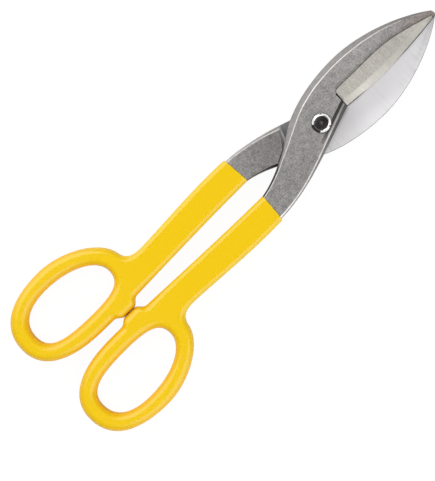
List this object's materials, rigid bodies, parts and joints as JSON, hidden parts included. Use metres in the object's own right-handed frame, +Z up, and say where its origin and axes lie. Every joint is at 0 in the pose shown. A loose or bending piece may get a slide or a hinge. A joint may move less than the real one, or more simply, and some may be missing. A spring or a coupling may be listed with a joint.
{
  "type": "straight-pattern tin snips",
  "caption": "Straight-pattern tin snips: crossed forged blades on a pivot bolt, with laid cutting edges and vinyl-dipped oval ring handles, for cutting sheet metal by hand.",
  "frame": {"origin": "on the pivot axis, at the level of the surface that the closed tool lies on, which is the flat bottom of the pivot bolt's head", "axes": "+X along the tool to the blade tip, +Y towards the spine of the front (upper) blade, +Z up along the pivot axis towards the nut"},
  "size_m": [0.3019, 0.1054, 0.012],
  "materials": {
    "forged_steel": "blasted drop forging, matt grey",
    "ground_steel": "ground tool steel, honed along the edge",
    "yellow_vinyl": "glossy dipped vinyl",
    "black_oxide": "black oxide steel",
    "bright_zinc": "bright plated"
  },
  "bodies": {
    "rear_half": {"rear_blade": "forged_steel", "rear_cutting_edge": "ground_steel", "rear_grip": "yellow_vinyl", "pivot_bolt": "black_oxide", "pivot_nut": "bright_zinc"},
    "front_half": {"front_blade": "forged_steel", "front_cutting_edge": "ground_steel", "front_grip": "yellow_vinyl"}
  },
  "joints": [
    {"name": "blade_pivot", "type": "hinge", "parent": "rear_half", "child": "front_half", "pos_m": [0, 0, 0.006], "axis": [0, 0, 1], "range_deg": [0, 60]}
  ]
}
